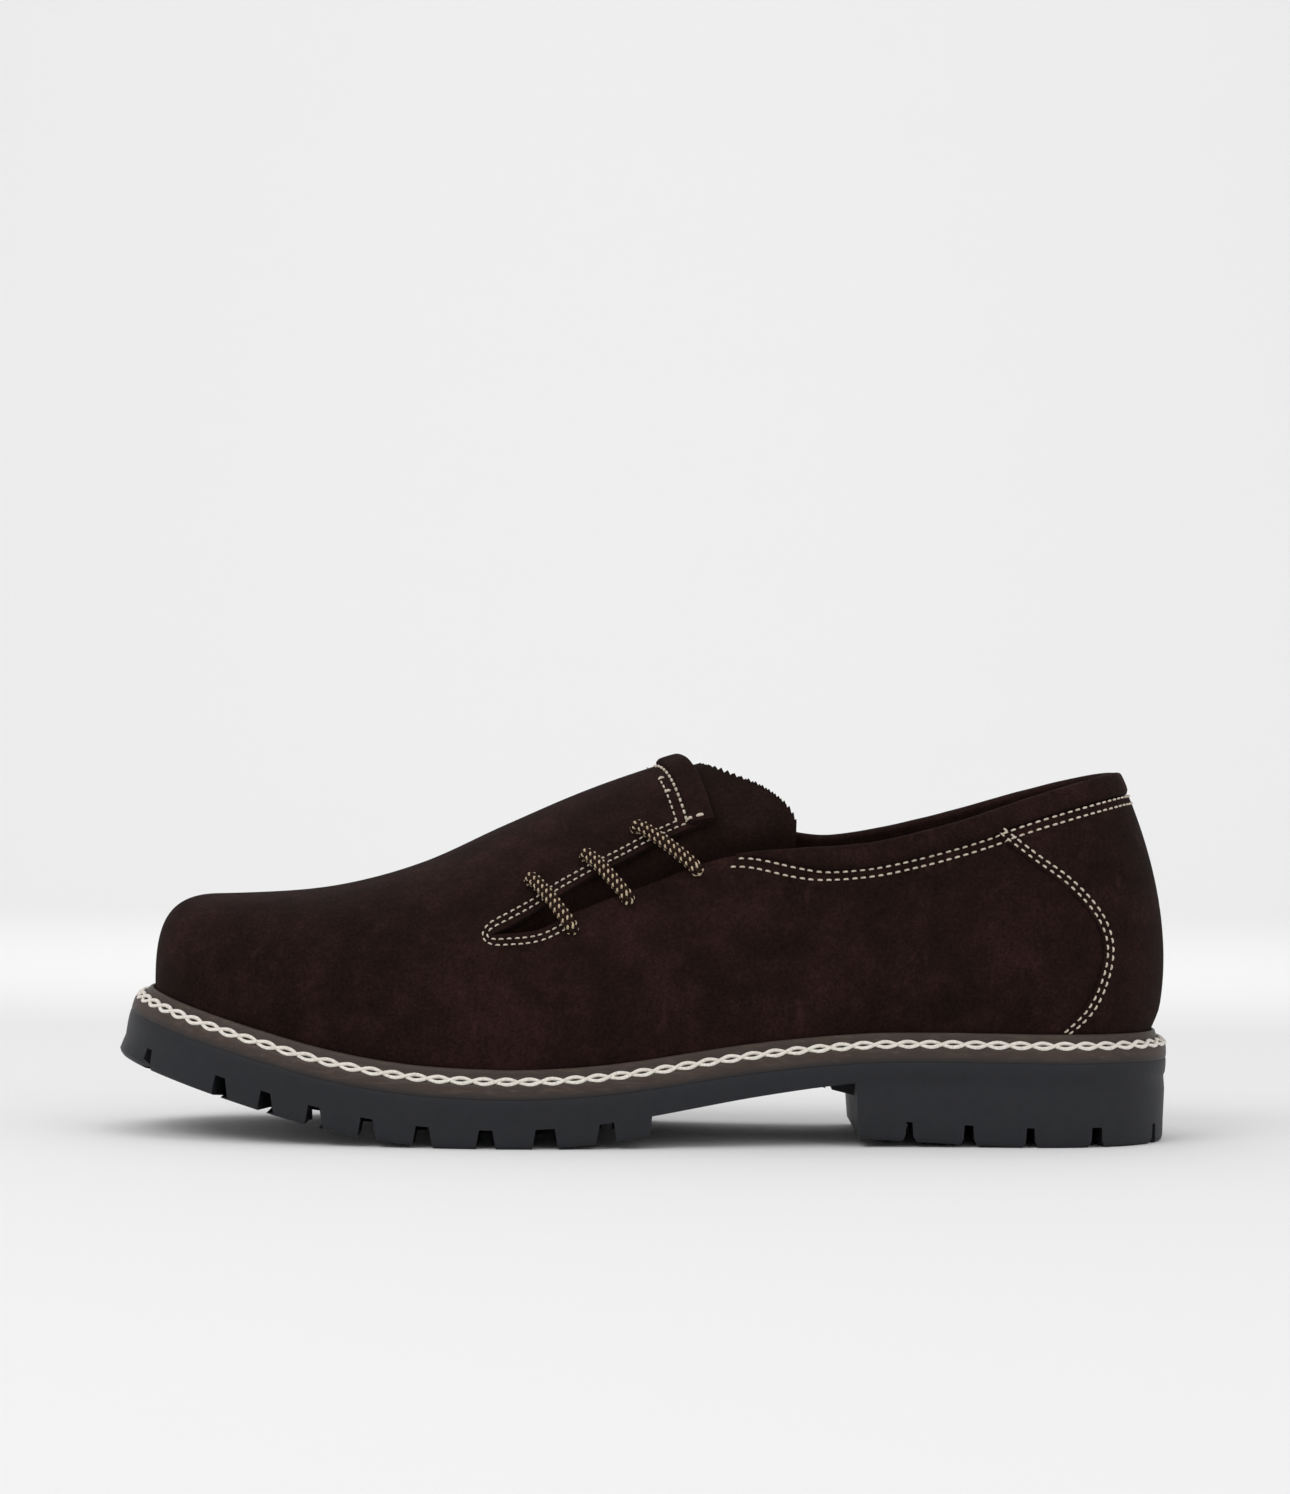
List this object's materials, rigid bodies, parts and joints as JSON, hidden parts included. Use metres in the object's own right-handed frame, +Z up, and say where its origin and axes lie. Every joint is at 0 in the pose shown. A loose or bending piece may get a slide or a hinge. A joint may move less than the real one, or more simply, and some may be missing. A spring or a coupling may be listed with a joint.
{
  "type": "traditional shoe",
  "caption": "Low traditional shoe in dark brown suede with a side lacing of three bars, a tongue with a pinked edge and a lugged black rubber sole.",
  "frame": {"origin": "middle of the shoe's footprint, on the floor", "axes": "+X towards the heel and -X towards the toe, +Z up, -Y towards the outer side of the left foot and +Y towards the inner side"},
  "size_m": [0.3004, 0.1098, 0.1091],
  "materials": {
    "suede": "napped suede",
    "tongue_suede": "napped suede, slightly darker",
    "black_rubber": "matt",
    "brown_midsole": "satin, with a light chain-stitched welt seam",
    "insole_leather": "smooth",
    "braided_cord": "round braid, dark brown with a beige fleck"
  },
  "bodies": {
    "root": {"outsole": "black_rubber", "midsole": "brown_midsole", "insole": "insole_leather", "upper": "suede", "counter": "suede", "collar_binding": "suede", "tongue": "tongue_suede", "lace_bar_1": "braided_cord", "lace_bar_2": "braided_cord", "lace_bar_3": "braided_cord"}
  },
  "joints": []
}
